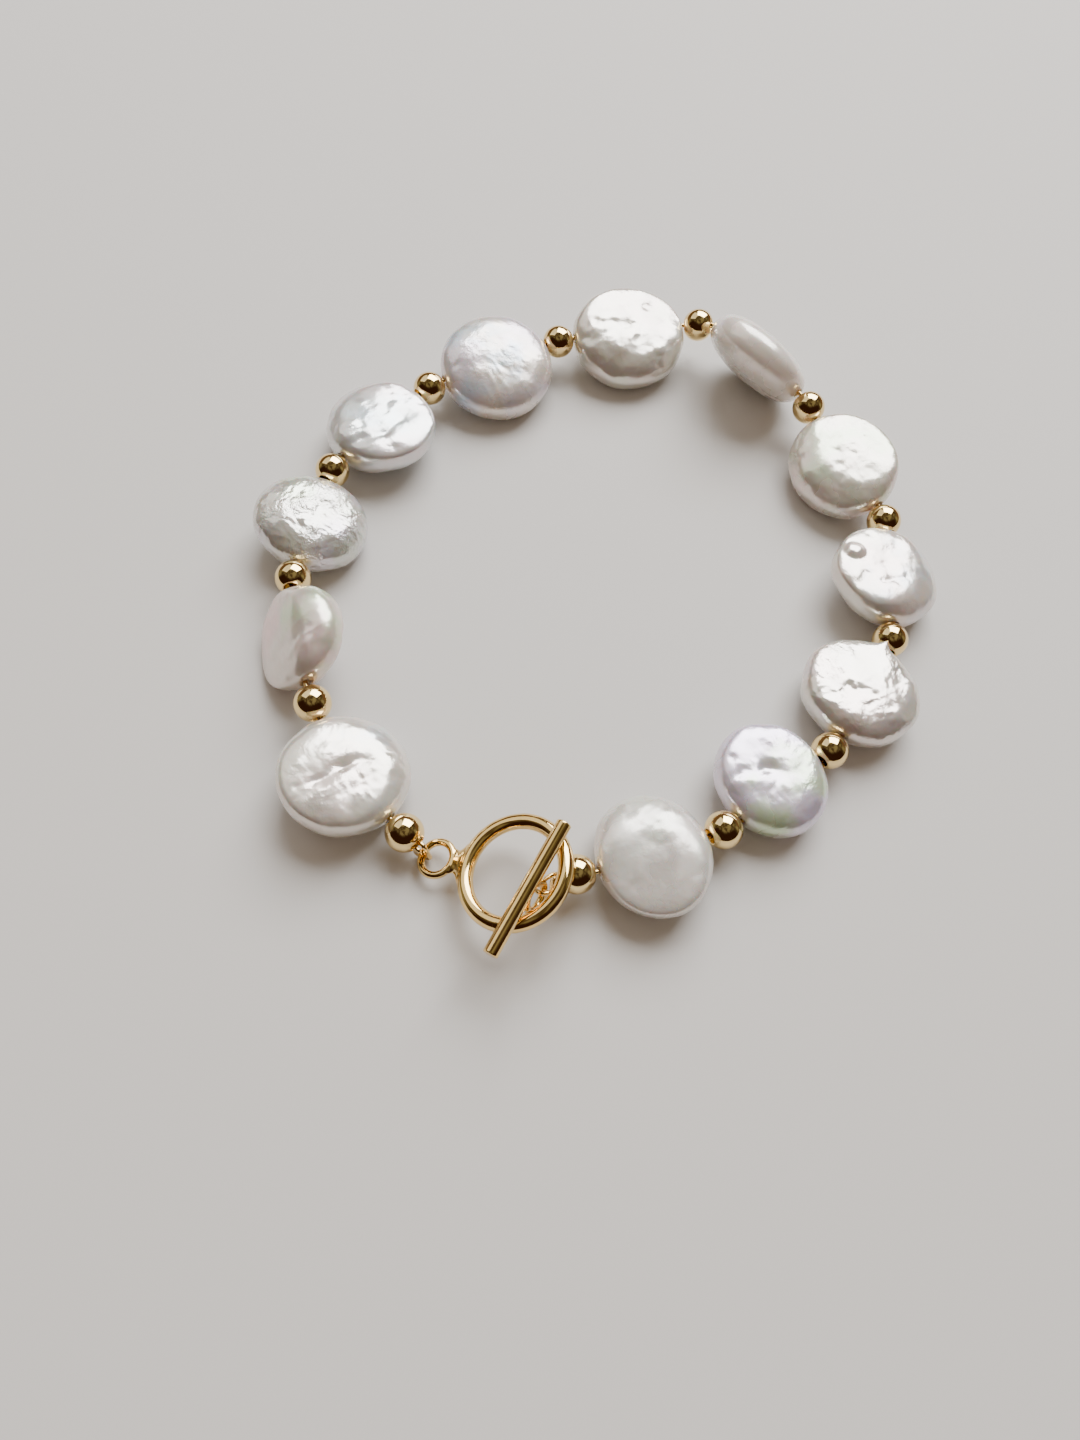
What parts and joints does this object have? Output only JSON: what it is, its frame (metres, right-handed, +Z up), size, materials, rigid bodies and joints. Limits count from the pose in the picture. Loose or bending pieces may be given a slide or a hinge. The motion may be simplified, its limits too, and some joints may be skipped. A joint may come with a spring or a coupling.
{
  "type": "pearl bracelet",
  "caption": "Bracelet of flat coin pearls with small round gold beads between them on beading wire, closed by a gold toggle ring and bar, lying closed on a table.",
  "frame": {"origin": "on the table under the middle of the bracelet's outer box", "axes": "+Z up from the table, -Y towards the clasp at the front, +X to the right seen from the front with +Z up"},
  "size_m": [0.0598, 0.0678, 0.0084],
  "materials": {
    "pearl": "glossy nacre",
    "gold_bead": "polished, gold-filled",
    "gold_clasp": "polished, gold-filled",
    "gold_wire": "gold-coloured coating on beading wire"
  },
  "bodies": {
    "root": {"pearl_01": "pearl", "pearl_02": "pearl", "pearl_03": "pearl", "pearl_04": "pearl", "pearl_05": "pearl", "pearl_06": "pearl", "pearl_07": "pearl", "pearl_08": "pearl", "pearl_09": "pearl", "pearl_10": "pearl", "pearl_11": "pearl", "pearl_12": "pearl", "bead_01": "gold_bead", "bead_02": "gold_bead", "bead_03": "gold_bead", "bead_04": "gold_bead", "bead_05": "gold_bead", "bead_06": "gold_bead", "bead_07": "gold_bead", "bead_08": "gold_bead", "bead_09": "gold_bead", "bead_10": "gold_bead", "bead_11": "gold_bead", "bead_12": "gold_bead", "bead_13": "gold_bead", "toggle_ring": "gold_clasp", "toggle_bar": "gold_clasp", "beading_wire": "gold_wire"}
  },
  "joints": []
}
